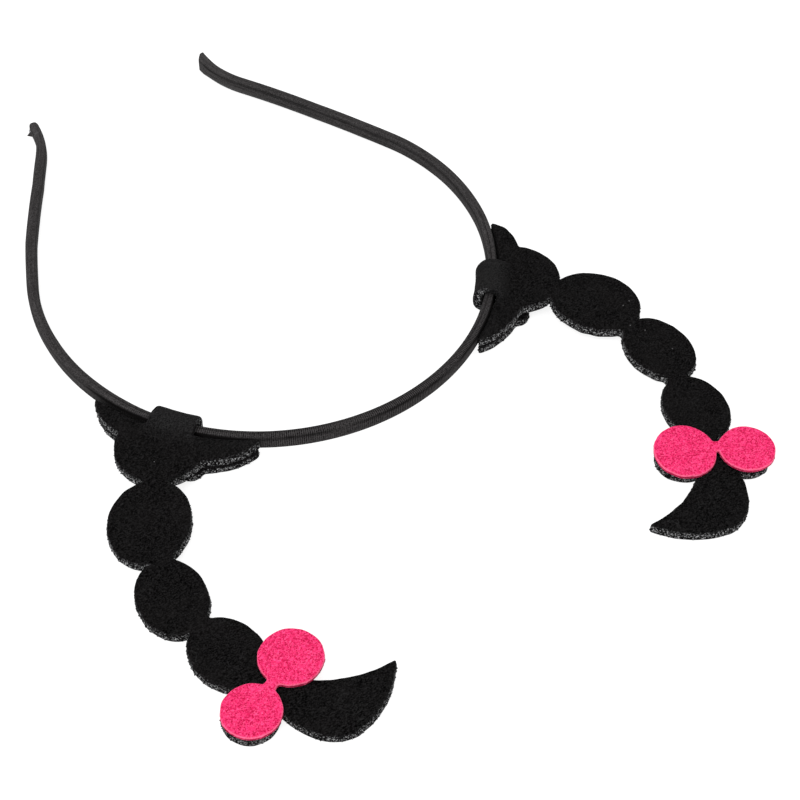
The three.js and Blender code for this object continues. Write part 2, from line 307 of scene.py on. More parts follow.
def bandShell():
    # rounded section carried along the arch: powers of sine and cosine, closed at the tips by a shrinking
    # section, raised where the ribbon overlaps on the inner side and where it is folded back at the left tip;
    # the left tip narrows, and the right one is squared and pushed along where its cut slants
    close = {}
    for side, length in bandShape["tipRound"].items():
        angle = np.linspace(0, np.pi / 2, bandShape["tipSteps"])[1:]
        close[side] = (length * np.sin(angle), np.cos(angle) ** 0.6 + 0.02)
    start = bandShape["tipRound"]["left"] - bandShape["tipEnd"]["left"]
    stop = bandShape["tipEnd"]["right"] - bandShape["tipRound"]["right"]
    plain = np.linspace(start, stop, int((stop - start) / bandShape["step"]))
    station = np.concatenate([start - close["left"][0][::-1], plain, stop + close["right"][0]])[:, None]
    scale = np.concatenate([close["left"][1][::-1], np.ones(len(plain)), close["right"][1]])[:, None]
    angle = np.linspace(0, 2 * np.pi, bandShape["sides"], endpoint=False)[None]

    squared = rise(station - halfLength + bandShape["squareLength"], 0.8)
    power = bandShape["roundness"] + (bandShape["tipSquare"] - bandShape["roundness"]) * squared
    up = np.sign(np.cos(angle)) * np.abs(np.cos(angle)) ** power * bandShape["width"] / 2
    out = np.sign(np.sin(angle)) * np.abs(np.sin(angle)) ** power * bandShape["thickness"] / 2

    lapLine = bandShape["lapAngle"]
    for size, length in bandShape["lapWaves"]:
        lapLine = lapLine + size * np.sin(station / length)
    lapEdge = rise(angle - lapLine, 0.05)
    lap = lapEdge * rise(bandShape["lapFade"] - angle, 0.25)
    fold = rise(bandShape["foldLength"] - halfLength - station - bandShape["foldSlant"] * np.cos(angle), 0.12)
    fold = fold * rise(1.02 * np.pi - angle, 0.06)
    proud = 1 + (bandShape["lap"] * lap + bandShape["foldHeight"] * fold) / bandShape["thickness"]

    swell = bandShape["swell"] * rise(np.abs(station) - bandShape["swellStation"], 4)
    scale = scale * (1 + swell)
    scale = scale * (1 - bandShape["tipThin"] * rise(-station - bandShape["thinStation"], 1.5))
    outs = scale * out * proud
    slant = bandShape["tipSlant"] * np.minimum(outs, bandShape["slantOut"])
    slant = slant * rise(station - halfLength + bandShape["slantLength"], 0.5)

    x, y, heading = (v[:, None] for v in archPlace(station[:, 0]))
    leans = [np.interp(np.abs(station), *np.transpose(bandShape["lean"][sign])) for sign in (1, -1)]
    x = x - np.sign(station) * np.where(station > 0, *leans)
    px = x + outs * np.sin(heading) + slant * np.cos(heading)
    py = y - outs * np.cos(heading) + slant * np.sin(heading)
    middle = bandHeight(y) + swell * bandShape["width"] * bandShape["swellLift"]
    pz = middle + scale * up * (1 + 0.35 * (proud - 1))

    index = np.arange(outs.size).reshape(outs.shape)
    seams = (lapEdge * (1 - lapEdge) * 4 + fold * (1 - fold) * 4).clip(0, 1)
    place = np.broadcast_arrays(ribbonPlace(station), angle / (2 * np.pi))
    return {
        "points": np.stack([px, py, pz], -1).reshape(-1, 3),
        "faces": [gridQuads(index), index[:1], index[-1:, ::-1]],
        "cut": seams.ravel(),
        "uv": np.stack(place, -1).reshape(-1, 2),
    }


def makeBand(name, finish):
    # the ribbon-covered band, a loose corner of its ribbon that tapers, and a round bead of glue beside it
    flap, glue = bandShape["flap"], bandShape["glue"]
    reach = np.linspace(0, 1, 9)[:, None]
    taper = [flap["long"] * reach, flap["wide"] * (1.03 - reach), flap["thick"] * (1.1 - reach)]
    turn = np.linspace(-np.pi / 2, np.pi / 2, 11)[1:-1, None]
    bead = [glue["long"] * np.sin(turn), glue["wide"] * np.cos(turn), glue["thick"] * np.cos(turn)]
    corner = ribbonScrap(flap, np.concatenate(taper, 1))
    drop = ribbonScrap(glue, np.concatenate(bead, 1))
    makePiece(name, joinShells([bandShell(), corner, drop]), finish, "band")


feltCut = {
    "thickness": 3.0,
    "step": 0.3,           # between outline points
    "soften": 5,           # rounds of smoothing, which round the notches and tips
    "edgeRound": 0.45,
    "underRound": 0.7,     # share of that rounding on the underside
    "rings": (0.1, 0.24, 0.45, 0.85),  # rows of points inside the outline
    "pitch": 0.55,         # between points of the face
    "wallRows": 9,
    "wallRough": 0.12,
    "roughLengths": (0.9, 0.4),
    "faceWave": 0.035,
    "waveLengths": (5, 1.3),
    "grow": 0.1,           # pile that stands past the cut outline
    "ragged": 0.04,        # waver of the cut
    "raggedLength": 5,
    "fuzz": 0.35,          # share of the cut edge's look at the face's rim
    "shadedTop": 0,          # share of the wall, from its top, that stays as dark as the face, a painted shade
}


def joinedOutline(shapes, cuts, extras, cut):
    # outline of the shapes less the cuts and with the extras: an edge that only one kept triangle has, put in
    # order, spaced evenly and softened
    parts = [p if flatArea(p) > 0 else p[::-1] for p in shapes + cuts + extras]
    kinds = ["shape"] * len(shapes) + ["cut"] * len(cuts) + ["extra"] * len(extras)
    ends = np.cumsum([len(p) for p in parts])
    loops = [list(range(end - len(p), end)) for p, end in zip(parts, ends)]
    made = delaunay_2d_cdt([Vector(p) for p in np.concatenate(parts).tolist()], [], loops, 1, 1e-6)
    corners, triangles, origin = np.array([tuple(p) for p in made[0]]), np.array(made[2]), made[5]
    found = [{kinds[k] for k in o} for o in origin]
    triangles = triangles[np.array(["extra" in f or ("shape" in f and "cut" not in f) for f in found])]
    start, end = triangles.ravel(), np.roll(triangles, -1, 1).ravel()
    count = len(corners)
    rim = ~np.isin(start * count + end, end * count + start)
    start, end = start[rim], end[rim]
    before = np.arange(count)
    before[end] = start
    first = start[np.argmin(corners[start, 0])]
    before[first] = first
    rank = (before != np.arange(count)).astype(int)
    for k in range(int(math.ceil(math.log2(count))) + 1):  # each round doubles the reach back along the rim
        rank = rank + rank[before]
        before = before[before]
    reached = np.unique(start)
    reached = reached[before[reached] == first]
    loop = corners[reached[np.argsort(rank[reached])]]
    closed = np.concatenate([loop, loop[:1]])
    far = np.concatenate([[0], np.cumsum(np.linalg.norm(np.diff(closed, axis=0), axis=1))])
    even = np.linspace(0, far[-1], int(far[-1] / cut["step"]), endpoint=False)
    line = np.stack([np.interp(even, far, closed[:, k]) for k in (0, 1)], -1)
    for k in range(cut["soften"]):
        line = (np.roll(line, 1, 0) + 2 * line + np.roll(line, -1, 0)) / 4
    ragged = cut["ragged"] * ripple(line, cut["raggedLength"], len(line))
    return line - (cut["grow"] + ragged)[:, None] * inwardOf(line)


def feltPlate(line, cut, thickness, lay, unshaded, seed):
    # two faces that fall to the rim as a quarter circle of the distance from the outline, and a rough wall
    # of rows between them; lay puts a plan place and a level in the felt into space, and the argument after
    # lay tells how much of the cut edge's grey shows, the rest being left as dark as the face, a painted
    # shade
    inward = inwardOf(line)
    rings = [line + inward * d for d in cut["rings"]]
    rings = [ring[nearest(ring, line) > 0.93 * d] for ring, d in zip(rings, cut["rings"])]  # not in notches
    low, high, pitch = line.min(0), line.max(0), cut["pitch"]
    rowStep = pitch * 0.866  # every other row is shifted by half a pitch, so that the triangles are even
    across, up = np.meshgrid(np.arange(low[0], high[0], pitch), np.arange(low[1], high[1], rowStep))
    across = across + np.where(np.arange(len(up)) % 2, pitch / 2, 0)[:, None]
    field = np.stack([across.ravel(), up.ravel()], -1)
    field = field[within(field, line)]
    field = field[nearest(field, line) > cut["rings"][-1] + pitch / 2]
    plan = np.concatenate([line] + rings + [field])
    made = delaunay_2d_cdt([Vector(p) for p in plan.tolist()], [], [list(range(len(line)))], 1, 1e-6)
    flat, triangles = np.array([tuple(p) for p in made[0]]), np.array(made[2])
    rimIndex = np.zeros(len(line), int)
    given = np.array([o[0] if o else -1 for o in made[3]])
    onRim = (given >= 0) & (given < len(line))
    rimIndex[given[onRim]] = np.nonzero(onRim)[0]

    reach = np.minimum(nearest(flat, line), cut["edgeRound"])
    drop = cut["edgeRound"] - np.sqrt(cut["edgeRound"] ** 2 - (cut["edgeRound"] - reach) ** 2)
    long, short = cut["waveLengths"]
    wave = cut["faceWave"] * (ripple(flat, long, seed) + 0.4 * ripple(flat, short, seed + 1))
    topLevel, bottomLevel = thickness - drop + wave, cut["underRound"] * drop

    count, edge, rows = len(flat), len(line), cut["wallRows"]
    share = np.linspace(0, 1, rows + 2)[1:-1, None]
    level = topLevel[rimIndex] * (1 - share) + bottomLevel[rimIndex] * share
    place = np.broadcast_to(line, (rows, edge, 2))
    solid = np.concatenate([place, level[..., None]], -1).reshape(-1, 3)
    long, short = cut["roughLengths"]
    rough = ripple(solid, long, seed + 2) + 0.7 * ripple(solid, short, seed + 3)
    rough = cut["wallRough"] * (0.45 + 0.75 * share) * rough.reshape(rows, edge)
    place = place - inward * rough[..., None]
    wall = lay(place.reshape(-1, 2), level.ravel())
    index = 2 * count + np.arange(rows * edge).reshape(rows, edge)
    quads = gridQuads(np.concatenate([[rimIndex], index, [count + rimIndex]]))

    pale = np.sin(np.pi * share) ** 0.35 * (0.6 + 0.4 * share) * (share > cut["shadedTop"])
    fuzz = cut["fuzz"] * (1 - reach / cut["edgeRound"]) ** 2 * unshaded(flat)
    return {
        "points": np.concatenate([lay(flat, topLevel), lay(flat, bottomLevel), wall]),
        "faces": [triangles, triangles[:, ::-1] + count, quads],
        "cut": np.concatenate([fuzz, np.zeros(count), (pale * unshaded(line)).ravel()]),
        "area": flatArea(line),
    }


def flatLay(height):
    # lays felt straight up from a height over the plan
    return lambda plan, level: np.concatenate([plan, (height(plan) + level)[:, None]], 1)


def innerEdge(along, sign):
    # how far the wings' inner edge lies out from the middle line: the cut is straighter than the band, so a
    # gap opens after the fold, and grows as the square of the way to the tips
    start, length = root["tipGapRun"]
    gap = root["farGap"][sign] * rise(along - root["gapStart"], 0.35)
    gap = gap + root["tipGap"][sign] * np.clip((along - start) / length, 0, 1) ** 2
    gap = gap + root["nearGap"][sign] * np.clip((-along - start) / length, 0, 1) ** 2
    return bandShape["thickness"] / 2 + root["beside"] + gap


def wingOutline(trim, sign):
    # inner edge beside the band from the near tip to the far one, then both bellied outer edges
    far, near = root["far"][sign], root["near"][sign]
    along = np.linspace(trim - near["tip"][0], far["tip"][0] - trim, 60)
    inner = besideBand(root["station"] + along, innerEdge(along, sign))
    sides = []
    for wing, way in ((far, 1), (near, -1)):
        out = max(wing["tip"][1], innerEdge(way * wing["tip"][0], sign) + root["tipWidth"])
        belly = (wing["belly"][0] - trim, wing["belly"][1] - trim)
        curve = bend((wing["tip"][0] - trim, out), belly, wing["join"], 30)
        sides.append(besideBand(root["station"] + way * curve[:, 0], curve[:, 1])[::way])
    return np.concatenate([inner] + sides)


def insideOutline(sign):
    # the space on the inner side of the wings' straight edge
    far, near = root["far"][sign]["tip"][0], root["near"][sign]["tip"][0]
    along = np.linspace(-near, far, 60)
    back = besideBand(root["station"] + np.array([along[-1], along[0]]), -far)
    return np.concatenate([besideBand(root["station"] + along, innerEdge(along, sign)), back])


tab = {
    "station": 57.25,
    "width": 12.1,         # along the band
    "ease": 2.4,           # along the wings, over which the fold's rise fades
    "shoulder": 0.4,       # beside the tab, before that starts
    "overlap": 2,          # how far the tab's cut starts inside the fold
    "leanHeight": 5,       # above it the fold follows the band's slope
    "side": 0.8,           # beside the tab, where the edge counts as the fold's
    "foot": 3,             # out from the band's middle line, where the fold's own edge starts
    "dark": (7.5, 3),      # length of the fold whose edge stays dark as painted shade, and of the fade after it
    "path": [              # out from the band's middle line, height, share of the felt's thickness
        (6.6, 4.5, 1),
        (5.5, 4.6, 1),
        (4.5, 5.1, 1),
        (3.6, 6.1, 0.9),
        (2.6, 7.5, 0.7),
        (0.3, 8.7, 0.6),
        (-1.8, 8.2, 0.68),
        (-3.0, 6.3, 0.85),
        (-3.2, 4.0, 0.92),
        (-2.8, 2.15, 0.85),
        (-1.2, 1.2, 0.76),
        (1.4, 1.15, 0.74),
    ],
}


def tabTable():
    # the tab's path by its own length: out, height, share of thickness and the normal's two parts
    path = smoothPath(tab["path"], 400)
    way = np.gradient(path[:, :2], axis=0)
    way /= np.linalg.norm(way, axis=1)[:, None]
    run = np.concatenate([[0], np.cumsum(np.linalg.norm(np.diff(path[:, :2], axis=0), axis=1))])
    return run, np.concatenate([path, way[:, 1:], -way[:, :1]], 1)


tabRun, tabRows = tabTable()
tabStart = tab["path"][0][0]


def tabOutline():
    # the tab before it is folded: an oblong across the band, as long as its path
    along = tab["station"] + np.linspace(-tab["width"] / 2, tab["width"] / 2, 24)
    start, end = tabStart - tab["overlap"], tabStart - tabRun[-1]
    return np.concatenate([besideBand(along, start), besideBand(along[::-1], end)])


def bandPlace(plan):
    # station of the closest place on the band's right half, and the distance out from there
    station = np.arange(tab["station"] - root["reach"], tab["station"] + root["reach"], 0.2)
    x, y, heading = archPlace(station)
    gap = plan[:, None] - np.stack([x, y], -1)[None]
    k = (gap ** 2).sum(2).argmin(1)
    dx, dy = (plan - np.stack([x, y], -1)[k]).T
    c, s = np.cos(heading[k]), np.sin(heading[k])
    return station[k] + dx * c + dy * s, dx * s - dy * c


def rootFold(sign, height):
    # lays felt at its height, but rolls it over the band by the tab's path where the tab is; the roll fades
    # along the wings as a smooth step
    def lay(plan, level):
        base = height(plan)
        points = np.concatenate([plan, (base + level)[:, None]], 1)
        own = plan * (sign, 1)
        station, out = bandPlace(own)
        aside = np.abs(station - tab["station"]) - tab["width"] / 2 - tab["shoulder"]
        aside = np.clip(aside / tab["ease"], 0, 1)
        share = (1 - aside ** 2 * (3 - 2 * aside)) * (out < tabStart)
        row = np.stack([np.interp(tabStart - out, tabRun, column) for column in tabRows.T], -1)
        off = (level - feltCut["thickness"] / 2) * row[:, 2]
        tilt = bandHeight(own[:, 1]) - bandHeight(rootY)
        rolledOut = row[:, 0] + row[:, 3] * off
        rolledUp = row[:, 1] + row[:, 4] * off + tilt * rise(row[:, 1] - tab["leanHeight"], 0.5)
        moved = besideBand(station, out + (rolledOut - out) * share) * (sign, 1)
        lifted = points[:, 2] + (rolledUp - points[:, 2]) * share
        return np.where((share > 0)[:, None], np.concatenate([moved, lifted[:, None]], 1), points)
    return lay


def wingLift(plan, sign):
    # the wings ride up the band's side: a smooth rise to their tips that fades away from the band
    station, out = bandPlace(plan * (sign, 1))
    along = station - root["station"]
    high = np.where(along > 0, root["far"][sign]["lift"], root["near"][sign]["lift"])
    start, full = root["liftAlong"]
    to = np.clip((np.abs(along) - start) / (full - start), 0, 1)
    fade, gone = root["liftOut"]
    by = np.clip((gone - out) / (gone - fade), 0, 1)
    return high * to ** 1.4 * by ** 2 * (3 - 2 * by) * (np.abs(along) < root["reach"])


def rootEdgeShade(sign):
    # painted shade: the cut edge's grey shows all round, but the edges that face the band and the first half
    # of the fold are left as dark as the face
    def unshaded(plan):
        station, out = bandPlace(plan * (sign, 1))
        aside = np.abs(station - tab["station"])
        width, fade = root["edgeShade"]
        beside = np.clip((out - innerEdge(station - root["station"], sign) - width) / fade, 0, 1)
        length, fade = tab["dark"]
        folded = np.clip((tabStart - out - length) / fade, 0, 1)
        onTab = (aside < tab["width"] / 2 + tab["side"]) & (out < tab["foot"])
        return np.where(aside < root["reach"] - 0.5, np.where(onTab, folded, beside), 1)
    return unshaded


braid = {
    "rootOval": (55.85, 22.25, 12.6, 12, -47),    # middle, half length, half width, heading
    "ovals": [
        (69.5, 2.25, 12.65, 10.3, -53, 1),        # the last column is the share of the side's lie
        (74.8, -19.9, 11.2, 8.6, -84, 1),
        (70.6, -41.1, 10.9, 8.5, -102, 0.6),
    ],
    "lobes": [(58.81, -51.4, 7), (72.71, -59.2, 6.75)],  # middle and radius, under the bow's discs
    "neck": 6,
    "rootLie": (0.65, 1.1),                       # how the right braid lies, and the left one the other way
    "ovalLie": (0.6, 1.5),
    "lobeLie": (-1.06, 0.2),
    "tailLie": (-0.48, -0.09),
    "slope": {"from": (56, 22.8), "to": (66, -55), "start": 20, "end": 74},
    "seeds": {"face": 20, "under": 40},
}

tail = {
    "innerNeck": (64.7, -46.2),
    "innerStart": (61.4, -54.5),
    "innerPull": (52.8, -64.9),
    "tip": (37.3, -64.7),
    "tipPull": (43.6, -74.5),
    "bottom": (54.3, -76.2),
    "outerPull": (66.6, -76.1),
    "outerStart": (68.7, -53.2),
    "outerNeck": (70.6, -45.2),
}


def tailOutline():
    # neck line, inner curve, two outer curves and the neck's other line
    inner = bend(tail["innerStart"], tail["innerPull"], tail["tip"], 40)
    under = bend(tail["tip"], tail["tipPull"], tail["bottom"], 40)
    outer = bend(tail["bottom"], tail["outerPull"], tail["outerStart"], 40)
    return np.concatenate([[tail["innerNeck"]], inner, under[1:], outer[1:], [tail["outerNeck"]]])


def slopeHeight(sign):
    # the felt eases from the doubled root down to the surface as the square of the way left
    slope = braid["slope"]
    way = np.subtract(slope["to"], slope["from"])
    way = way / np.linalg.norm(way)

    def height(plan):
        run = (plan * (sign, 1) - slope["from"]) @ way
        part = np.clip((run - slope["start"]) / (slope["end"] - slope["start"]), 0, 1)
        return feltCut["thickness"] * (1 - part) ** 2
    return height


def lain(place, lie, share):
    # a place shifted by a share of a lie
    return (place[0] + share * lie[0], place[1] + share * lie[1], *place[2:])


def makeBraid(name, sign, finish):
    # one folded cut of felt: the braid's face, the strip over the band and the layer glued under the root
    ovals = [lain(braid["rootOval"], braid["rootLie"], sign)]
    ovals += [lain(o[:5], braid["ovalLie"], sign * o[5]) for o in braid["ovals"]]
    shapes = [ovalOutline(*o) for o in ovals]
    shapes += [stripOutline(a[:2], b[:2], braid["neck"]) for a, b in zip(ovals, ovals[1:])]
    shapes += [discOutline(*lain(lobe, braid["lobeLie"], sign)) for lobe in braid["lobes"]]
    shapes.append(tailOutline() + sign * np.array(braid["tailLie"]))
    shapes.append(wingOutline(0, sign))
    turned = [s * (sign, 1) for s in shapes]
    cuts, extras = [insideOutline(sign) * (sign, 1)], [tabOutline() * (sign, 1)]
    line = joinedOutline(turned, cuts, extras, feltCut)
    slope = slopeHeight(sign)
    lay = rootFold(sign, lambda plan: slope(plan) + wingLift(plan, sign))
    seeds, unshaded = braid["seeds"], rootEdgeShade(sign)
    face = feltPlate(line, feltCut, feltCut["thickness"], lay, unshaded, seeds["face"] + sign)

    under = [wingOutline(root["underTrim"], sign), discOutline(*root["tongue"][sign])]
    line = joinedOutline([s * (sign, 1) for s in under], [], [], feltCut)
    lay = flatLay(lambda plan: root["underLift"] * wingLift(plan, sign))
    # the under layer's upper edge is left dark: painted shade in the seam between the layers
    underCut = dict(feltCut, fuzz=0, shadedTop=root["underShade"][sign])
    backing = feltPlate(line, underCut, root["underThickness"][sign], lay, unshaded, seeds["under"] + sign)

    area = face["area"] + backing["area"]
    print(name, "flat area", round(area), "of which the face", round(face["area"]))
    piece = makePiece("felt_" + name, joinShells([face, backing]), finish, name)
    area * mm ** 2


bow = {
    "inner": {1: (58.1, -51.5, 8), -1: (58.6, -51.7, 7.8)},   # middle and radius of each disc, by side
    "outer": {1: (72.3, -59.2, 7.2), -1: (73.4, -59.5, 7.2)},
    "neck": 2.9,
    "neckReach": 3.2,      # to each side of the neck's middle
    "neckFlare": 0.1,      # added half width by the square of the distance from there
    "neckAside": {1: 1.2, -1: -0.1},              # how far the neck lies to the far side of the discs' line
    "thickness": 1.4,
    "lift": {1: 0.3, -1: 0.16},                   # above the braid's face
    "tilt": {1: 0.07, -1: 0.01},                  # rise of the larger disc to the far side
    "tiltLine": -2,        # where that starts from, beside the disc's middle
    "seed": 80,
    "cut": {               # where this thinner felt differs from the braids'
        "soften": 3,
        "edgeRound": 0.4,
        "rings": (0.1, 0.22, 0.4, 0.7),
        "pitch": 0.8,
        "wallRows": 6,
        "wallRough": 0.05,
        "faceWave": 0.03,
        "grow": 0.08,
        "ragged": 0.045,
        "fuzz": 0.5,
    },
}


def allBare(plan):
    # the cut edge shows all round
    return np.ones(len(plan))


def makeBow(name, sign, finish):
    # two discs and a neck whose half width grows as the square of the distance from its middle
    inner, outer = bow["inner"][sign], bow["outer"][sign]
    span = np.subtract(outer[:2], inner[:2])
    long = np.linalg.norm(span)
    way = span / long
    middle = (inner[2] + long - outer[2]) / 2
    run = np.linspace(middle - bow["neckReach"], middle + bow["neckReach"], 24)
    half = bow["neck"] / 2 + bow["neckFlare"] * (run - middle) ** 2
    across = np.array([-way[1], way[0]])
    spine = np.array(inner[:2]) + run[:, None] * way + bow["neckAside"][sign] * across
    neck = np.concatenate([spine - half[:, None] * across, (spine + half[:, None] * across)[::-1]])
    cut = dict(feltCut, **bow["cut"])
    shapes = [discOutline(*inner), discOutline(*outer), neck]
    line = joinedOutline([s * (sign, 1) for s in shapes], [], [], cut)
    level = feltCut["thickness"] + bow["lift"][sign]

    def height(plan):
        # level on the smaller disc, turned up to the far side on the larger one
        own = plan * (sign, 1) - inner[:2]
        return level + bow["tilt"][sign] * (own[:, 1] - bow["tiltLine"]) * rise(middle - own @ way, 0.8)
    shell = feltPlate(line, cut, bow["thickness"], flatLay(height), allBare, bow["seed"] + sign)
    piece = makePiece("felt_" + name, shell, finish, name)
    shell["area"] * mm ** 2


class Wire:
    # a socket that takes part in Python expressions
    def __init__(self, tree, socket=None):
        self.tree = tree
        self.socket = socket

    def node(self, kind, settings=None, sockets=None, out=0):
        # any node, by its type, its settings, the values or links of its sockets and the output to go on from
        made = self.tree.nodes.new(kind)
        for key, value in (settings or {}).items():
            setattr(made, key, value)
        for key, value in (sockets or {}).items():
            if isinstance(value, Wire):
                self.tree.links.new(value.socket, made.inputs[key])
            else:
                made.inputs[key].default_value = value
        return Wire(self.tree, made.outputs[out])

    def math(self, operation, a, b=None):
        values = {0: a} if b is None else {0: a, 1: b}
        return self.node("ShaderNodeMath", {"operation": operation}, values)

    def __add__(self, other):
        return self.math("ADD", self, other)

    def __radd__(self, other):
        return self.math("ADD", other, self)

    def __sub__(self, other):
        return self.math("SUBTRACT", self, other)

    def __rsub__(self, other):
        return self.math("SUBTRACT", other, self)

    def __mul__(self, other):
        return self.math("MULTIPLY", self, other)

    def __rmul__(self, other):
        return self.math("MULTIPLY", other, self)

    def __gt__(self, other):
        return self.math("GREATER_THAN", self, other)

    def __pow__(self, other):
        return self.math("POWER", self, other)

    def __abs__(self):
        return self.math("ABSOLUTE", self)

    def limit(self, low, high):
        # straight rise from 0 at low to 1 at high
        sockets = {"Value": self, "From Min": low, "From Max": high}
        return self.node("ShaderNodeMapRange", {"clamp": True}, sockets)

    def blend(self, first, second):
        # colour from first to second as this value goes from 0 to 1
        settings = {"data_type": "RGBA"}
        return self.node("ShaderNodeMix", settings, {0: self, 6: first, 7: second}, 2)

    def axis(self, name):
        # one number of a place
        return self.node("ShaderNodeSeparateXYZ", {}, {"Vector": self}, name)

    def noise(self, scale, detail, roughness=0.5, distortion=0):
        # cloudy noise over a place
        sockets = {"Vector": self, "Scale": scale, "Detail": detail}
        sockets.update({"Roughness": roughness, "Distortion": distortion})
        return self.node("ShaderNodeTexNoise", {}, sockets)

    def crumbs(self, scale):
        # a random number for each cell round scattered points
        cells = self.node("ShaderNodeTexVoronoi", {}, {"Vector": self, "Scale": scale}, "Color")
        return self.node("ShaderNodeSeparateColor", {}, {"Color": cells})

    def bump(self, strength, distance):
        # normal from this height
        return self.node("ShaderNodeBump", {}, {"Height": self, "Strength": strength, "Distance": distance})


def startFinish(name, fixed):
    # a material with its fixed values set, a wire to start from and the shader
    finish = bpy.data.materials.new(name)
    finish.use_nodes = True
    shader = finish.node_tree.nodes["Principled BSDF"]
    for key, value in fixed.items():
        shader.inputs[key].default_value = value
    return finish, Wire(finish.node_tree), shader


def connect(wire, shader, name):
    wire.tree.links.new(wire.socket, shader.inputs[name])


blackFeltLook = {
    "pile": 2900,                             # scales of the patterns, per metre
    "fibre": 3200,
    "patch": 140,
    "lintDots": 400,
    "hairs": (230, 170),                      # of the hairs, and of the places that have them
    "cutCrumbs": 3650,
    "cutFlecks": 2000,
    "brush": {"Rotation": (0, 0, 0.5), "Scale": (0.4, 1, 1)},
    "sheenHeights": (0.006, 0.0095),           # between these heights painted sheen lightens the fold over the band
    "dark": (0, 0, 0, 1),
    "light": (0.0142, 0.0136, 0.0138, 1),
    "foldSheen": (0.03, 0.0295, 0.03, 1),
    "worn": (0.0105, 0.0095, 0.0095, 1),
    "lint": (0.2, 0.2, 0.2, 1),
    "cutDark": (0.004, 0.004, 0.004, 1),
    "cutLight": (0.44, 0.44, 0.447, 1),
    "fixed": {"Roughness": 0.95, "Specular IOR Level": 0.02, "Sheen Weight": 0.02, "Sheen Roughness": 0.3},
}


def blackFelt():
    # brushed black face of pile and laid fibre, a painted sheen that lightens the high fold, stray lint and
    # hairs, and a cut edge speckled grey
    look = blackFeltLook
    finish, wire, shader = startFinish("blackFelt", look["fixed"])
    place = wire.node("ShaderNodeTexCoord", out="Object")
    cut = wire.node("ShaderNodeAttribute", {"attribute_name": "cutEdge"}, out="Fac")
    brushed = wire.node("ShaderNodeMapping", {}, {"Vector": place, **look["brush"]})
    pile = place.noise(look["pile"], 3, 0.7)
    fibre = brushed.noise(look["fibre"], 3, distortion=0.5)
    patch = place.noise(look["patch"], 2)
    tone = (pile * 0.6 + fibre * 0.4).limit(0.44, 0.62)
    face = tone.blend(look["dark"], look["light"])
    # painted sheen: lighter towards the top of the fold over the band
    high = place.axis("Z").limit(*look["sheenHeights"])
    face = (high * pile.limit(0.3, 0.7) * 0.6).blend(face, look["foldSheen"])
    face = (patch.limit(0.4, 0.7) * 0.25).blend(face, look["worn"])
    lint = wire.node("ShaderNodeTexVoronoi", {}, {"Vector": place, "Scale": look["lintDots"]}, "Distance")
    dot = (0.08 - lint > 0) * (place.crumbs(look["lintDots"]) > 0.96)  # few cells have a dot
    hairScale, regionScale = look["hairs"]
    region = place.noise(regionScale, 0).limit(0.62, 0.66)
    hair = abs(place.noise(hairScale, 0.6) - 0.5).limit(0.009, 0.002) * region
    face = (dot * 0.35 + hair * 0.05).limit(0, 1).blend(face, look["lint"])
    fleck = place.noise(look["cutFlecks"], 3, 0.7)
    speckle = (place.crumbs(look["cutCrumbs"]) * 0.85 + fleck * 0.35).limit(0.7, 1.02) ** 1.3
    edge = speckle.blend(look["cutDark"], look["cutLight"])
    connect(cut.limit(0.05, 0.95).blend(face, edge), shader, "Base Color")
    relief = pile * 0.5 + fibre * 0.35 + cut * speckle * 0.8
    connect(relief.bump(0.55, 0.0003), shader, "Normal")
    return finish


pinkFeltLook = {
    "ground": 1700,                           # scales of the patterns, per metre
    "crumbs": 3300,
    "shadeHeights": (0.0047, 0.0036),          # between these heights painted shade darkens the edge to its foot
    "light": (0.87, 0.045, 0.185, 1),
    "deep": (0.62, 0.01, 0.08, 1),
    "dark": (0.36, 0.001, 0.03, 1),
    "fleck": (1, 0.13, 0.31, 1),
    "rim": (1, 0.22, 0.36, 1),
    # edge and foot: painted shade on the cut edge, darker towards its foot
    "edge": (0.72, 0.04, 0.13, 1),
    "foot": (0.2, 0.003, 0.02, 1),
    "fixed": {"Roughness": 0.95, "Specular IOR Level": 0.05},
}


def pinkFelt():
    # needled pink fibre: short darker squiggles over a mottled ground, pale flecks, a paler rim, and
    #     # painted shade that darkens the cut edge down to its foot
    look = pinkFeltLook
    finish, wire, shader = startFinish("pinkFelt", look["fixed"])
    place = wire.node("ShaderNodeTexCoord", out="Object")
    cut = wire.node("ShaderNodeAttribute", {"attribute_name": "cutEdge"}, out="Fac")
    ground = place.noise(look["ground"], 2, 0.6, 1.6)
    fine = place.crumbs(look["crumbs"])
    dark = (fine * 0.8 + ground * 0.5).limit(0.73, 1.02)
    face = ground.limit(0.38, 0.62).blend(look["light"], look["deep"])
    face = (dark * 0.75).blend(face, look["dark"])
    face = (fine.limit(0.35, 0.0) * 0.45).blend(face, look["fleck"])
    wall = cut.limit(0.45, 0.75)
    rim = cut.limit(0.04, 0.4) * (1 - wall)
    face = (rim * 0.5).blend(face, look["rim"])
    # painted shade: the cut edge darkens, and darkens further towards its foot
    face = (wall * 0.4).blend(face, look["edge"])
    low = wall * place.axis("Z").limit(*look["shadeHeights"])
    connect((low * 0.9).blend(face, look["foot"]), shader, "Base Color")
    relief = ground * 0.5 + fine * 0.25 - dark * 0.4
    connect(relief.bump(0.6, 0.00035), shader, "Normal")
    return finish


satinLook = {
    "ribLength": 0.0055,                      # of the weave, in units of the ribbon's pattern
    "streaks": (4, 22, 1),                    # scale along the ribbon and round the section
    "grain": 3000,
    "wave": 90,
    "dark": (0.0005, 0.0004, 0.0004, 1),
    "light": (0.057, 0.0535, 0.054, 1),
    # colour of the painted shade, and of the dark lines and patches on the arms
    "shadeAndDarkMarks": (0.004, 0.0036, 0.0036, 1),
    "edge": (0.1, 0.1, 0.102, 1),
    "glue": (0.34, 0.34, 0.35, 1),
    "fixed": {"Specular IOR Level": 0.025},
}


